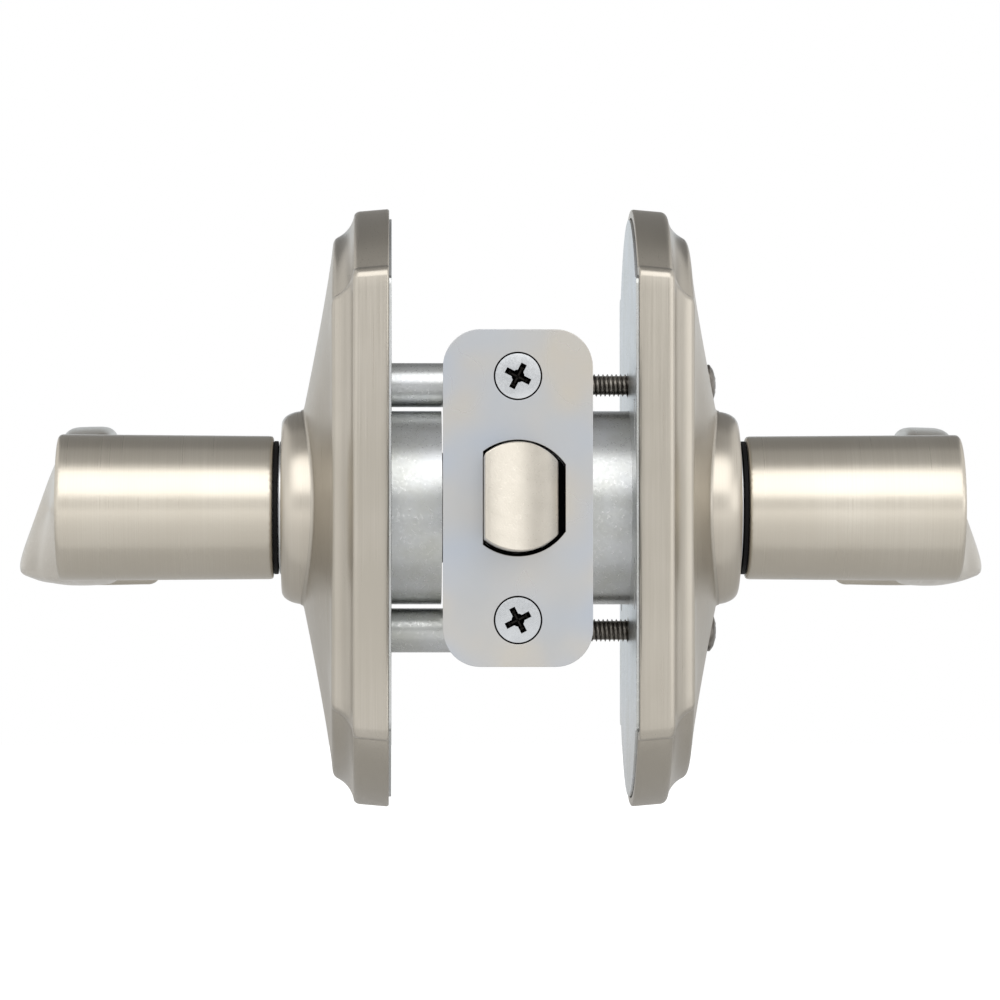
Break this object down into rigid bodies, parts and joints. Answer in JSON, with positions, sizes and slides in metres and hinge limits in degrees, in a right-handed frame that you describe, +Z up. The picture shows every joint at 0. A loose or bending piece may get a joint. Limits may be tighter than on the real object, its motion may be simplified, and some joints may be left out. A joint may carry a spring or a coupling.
{
  "type": "tubular lever latch set",
  "caption": "Passage lever set for a bored door: levers on a square spindle, stepped roses over spring drums, and a tubular spring latch that the levers draw back.",
  "frame": {"origin": "middle of the door's cross bore, on the levers' common axis and midway through the door", "axes": "+X through the door towards the inside, along the spindle; +Y into the door, away from its edge, the way the levers point; +Z up"},
  "size_m": [0.1872, 0.1811, 0.108],
  "materials": {
    "satin_nickel": "satin nickel plate, brushed",
    "satin_steel": "satin",
    "plated_steel": "bright zinc plate",
    "spring_steel": "oiled drawn wire",
    "nylon": "moulded nylon"
  },
  "bodies": {
    "lock_body": {"outside_rose": "satin_nickel", "inside_rose": "satin_nickel", "outside_collar": "satin_nickel", "inside_collar": "satin_nickel", "latch_faceplate": "satin_steel", "faceplate_screws": "satin_steel", "through_bolts": "satin_steel", "outside_sleeve": "plated_steel", "inside_sleeve": "plated_steel", "outside_mounting_plate": "plated_steel", "inside_mounting_plate": "plated_steel", "outside_spring_drum": "plated_steel", "inside_spring_drum": "plated_steel", "outside_drum_cover": "plated_steel", "inside_drum_cover": "plated_steel", "threaded_posts": "plated_steel", "screw_spacers": "plated_steel", "latch_backplate": "plated_steel", "latch_barrel": "plated_steel", "latch_cheek_left": "plated_steel", "latch_cheek_right": "plated_steel", "case_rivets": "plated_steel", "spring_seat": "plated_steel", "outside_return_spring": "spring_steel", "inside_return_spring": "spring_steel", "bolt_spring": "spring_steel", "outside_washer": "nylon", "inside_washer": "nylon"},
    "levers": {"outside_lever": "satin_nickel", "inside_lever": "satin_nickel", "outside_drive_tube": "plated_steel", "inside_drive_tube": "plated_steel", "outside_snap_ring": "plated_steel", "inside_snap_ring": "plated_steel", "lever_set_screws": "plated_steel", "spindle": "plated_steel", "retractor_hub": "plated_steel"},
    "bolt": {"latch_bolt": "satin_nickel", "bolt_tail": "plated_steel"}
  },
  "joints": [
    {"name": "levers_turn", "type": "hinge", "parent": "lock_body", "child": "levers", "pos_m": [0, 0, 0], "axis": [-1, 0, 0], "range_deg": [0, 60], "stiffness_Nm_per_rad": 1, "springref_deg": -34.38, "deforming": ["outside_return_spring", "inside_return_spring"]},
    {"name": "bolt_slide", "type": "slide", "parent": "lock_body", "child": "bolt", "axis": [0, 1, 0], "range_m": [0, 0.0127], "stiffness_N_per_m": 400, "springref_m": -0.015, "deforming": ["bolt_spring"]}
  ],
  "couplings": [
    {"joint": "bolt_slide", "follows": "levers_turn", "m_per_rad": 0.012127}
  ]
}
